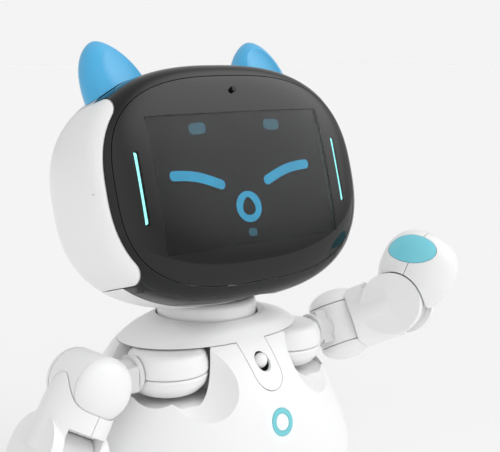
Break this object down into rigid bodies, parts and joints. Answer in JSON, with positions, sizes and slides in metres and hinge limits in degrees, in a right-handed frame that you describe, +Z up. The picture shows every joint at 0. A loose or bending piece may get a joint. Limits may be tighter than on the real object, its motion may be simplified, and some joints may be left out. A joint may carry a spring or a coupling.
{
  "type": "educational coding robot",
  "caption": "Small white humanoid learning robot with a wide glass-faced head, round blue ears, an egg-shaped wheeled body and jointed arms.",
  "frame": {"origin": "on the floor plane, straight below the neck turning axis of the body", "axes": "+Z up, the robot faces -Y, and its own left hand is on +X"},
  "size_m": [0.3649, 0.1877, 0.3572],
  "materials": {
    "white_shell": "satin gloss white",
    "light": "frosted lit cyan",
    "frame_grey": "moulded grey",
    "servo_black": "moulded black",
    "battery_blue": "wrapped cell pack",
    "circuit_board": "coated board",
    "black_gloss": "high gloss black",
    "face_glass": "dark tinted gloss glass",
    "screen": "dark lit screen",
    "ear_blue": "satin blue",
    "tyre_rubber": "matt rubber"
  },
  "bodies": {
    "torso": {"body_front_shell": "white_shell", "body_rear_shell": "white_shell", "shoulder_cape": "white_shell", "chest_dome": "white_shell", "chest_light_ring": "light", "chassis_frame": "frame_grey", "neck_turn_servo": "servo_black", "battery_pack": "battery_blue", "main_board": "circuit_board", "speaker": "servo_black", "charge_socket": "black_gloss", "base_plate": "frame_grey", "gear_motor_right": "servo_black", "gear_motor_left": "servo_black", "caster_fork": "frame_grey"},
    "power_button": {"power_button": "light"},
    "neck": {"neck_collar": "white_shell", "neck_tilt_servo": "servo_black"},
    "head": {"head_shell": "white_shell", "side_panel_right": "white_shell", "side_panel_left": "white_shell", "face_bezel": "black_gloss", "face_glass": "face_glass", "display_panel": "screen", "light_bar_right": "light", "light_bar_left": "light", "camera_window": "black_gloss", "head_frame": "frame_grey", "ear_right": "ear_blue", "ear_left": "ear_blue"},
    "barrel_right": {"barrel_lower_right": "white_shell", "barrel_upper_right": "white_shell"},
    "shoulder_hub_right": {"hub_saddle_right": "frame_grey"},
    "upper_arm_right": {"drum_band_right": "white_shell", "drum_cap_front_right": "white_shell", "drum_cap_rear_right": "white_shell", "sleeve_outer_right": "white_shell", "sleeve_inner_right": "white_shell"},
    "forearm_right": {"forearm_core_right": "servo_black", "hand_front_right": "white_shell", "hand_back_right": "white_shell", "palm_light_right": "light"},
    "barrel_left": {"barrel_lower_left": "white_shell", "barrel_upper_left": "white_shell"},
    "shoulder_hub_left": {"hub_saddle_left": "frame_grey"},
    "upper_arm_left": {"drum_band_left": "white_shell", "drum_cap_front_left": "white_shell", "drum_cap_rear_left": "white_shell", "sleeve_outer_left": "white_shell", "sleeve_inner_left": "white_shell"},
    "forearm_left": {"forearm_core_left": "servo_black", "hand_front_left": "white_shell", "hand_back_left": "white_shell", "palm_light_left": "light"},
    "wheel_right": {"wheel_hub_right": "white_shell", "tyre_right": "tyre_rubber"},
    "wheel_left": {"wheel_hub_left": "white_shell", "tyre_left": "tyre_rubber"},
    "caster": {"caster_wheel": "tyre_rubber"}
  },
  "joints": [
    {"name": "neck_turn", "type": "hinge", "parent": "torso", "child": "neck", "pos_m": [0, -0.005, 0.02], "axis": [0, 0, 1], "range_deg": [-40, 40]},
    {"name": "head_tilt", "type": "hinge", "parent": "neck", "child": "head", "pos_m": [0, -0.005, 0.21], "axis": [1, 0, 0], "range_deg": [-5, 22]},
    {"name": "shoulder_turn_left", "type": "hinge", "parent": "torso", "child": "barrel_left", "pos_m": [0.055, -0.029, 0.02], "axis": [0, 0, 1], "range_deg": [-40, 10]},
    {"name": "shoulder_raise_left", "type": "hinge", "parent": "barrel_left", "child": "shoulder_hub_left", "pos_m": [0.055, -0.029, 0.133], "axis": [1, 0, 0], "range_deg": [-30, 150]},
    {"name": "shoulder_spread_left", "type": "hinge", "parent": "shoulder_hub_left", "child": "upper_arm_left", "pos_m": [0.119, -0.029, 0.133], "axis": [0, 0.454, 0.891], "range_deg": [-10, 75]},
    {"name": "elbow_bend_left", "type": "hinge", "parent": "upper_arm_left", "child": "forearm_left", "pos_m": [0.1417, -0.0687, 0.15323], "axis": [-0.891, -0.4045, 0.2061], "range_deg": [-45, 30]},
    {"name": "shoulder_turn_right", "type": "hinge", "parent": "torso", "child": "barrel_right", "pos_m": [-0.055, -0.029, 0.02], "axis": [0, 0, 1], "range_deg": [-10, 60]},
    {"name": "shoulder_raise_right", "type": "hinge", "parent": "barrel_right", "child": "shoulder_hub_right", "pos_m": [-0.055, -0.029, 0.133], "axis": [1, 0, 0], "range_deg": [-190, 60]},
    {"name": "shoulder_spread_right", "type": "hinge", "parent": "shoulder_hub_right", "child": "upper_arm_right", "pos_m": [-0.119, -0.029, 0.133], "axis": [0, 1, 0], "range_deg": [-12, 70]},
    {"name": "elbow_bend_right", "type": "hinge", "parent": "upper_arm_right", "child": "forearm_right", "pos_m": [-0.144, -0.029, 0.0897], "axis": [-0.866, 0, 0.5], "range_deg": [-15, 60]},
    {"name": "drive_left", "type": "hinge", "parent": "torso", "child": "wheel_left", "pos_m": [0.074, 0.012, 0.022], "axis": [1, 0, 0], "continuous": true},
    {"name": "drive_right", "type": "hinge", "parent": "torso", "child": "wheel_right", "pos_m": [-0.074, 0.012, 0.022], "axis": [1, 0, 0], "continuous": true},
    {"name": "caster_roll", "type": "hinge", "parent": "torso", "child": "caster", "pos_m": [0, -0.045, 0.0052], "axis": [1, 0, 0], "continuous": true},
    {"name": "power_press", "type": "slide", "parent": "torso", "child": "power_button", "axis": [0, -1, 0], "range_m": [0, 0.0012], "stiffness_N_per_m": 400}
  ]
}
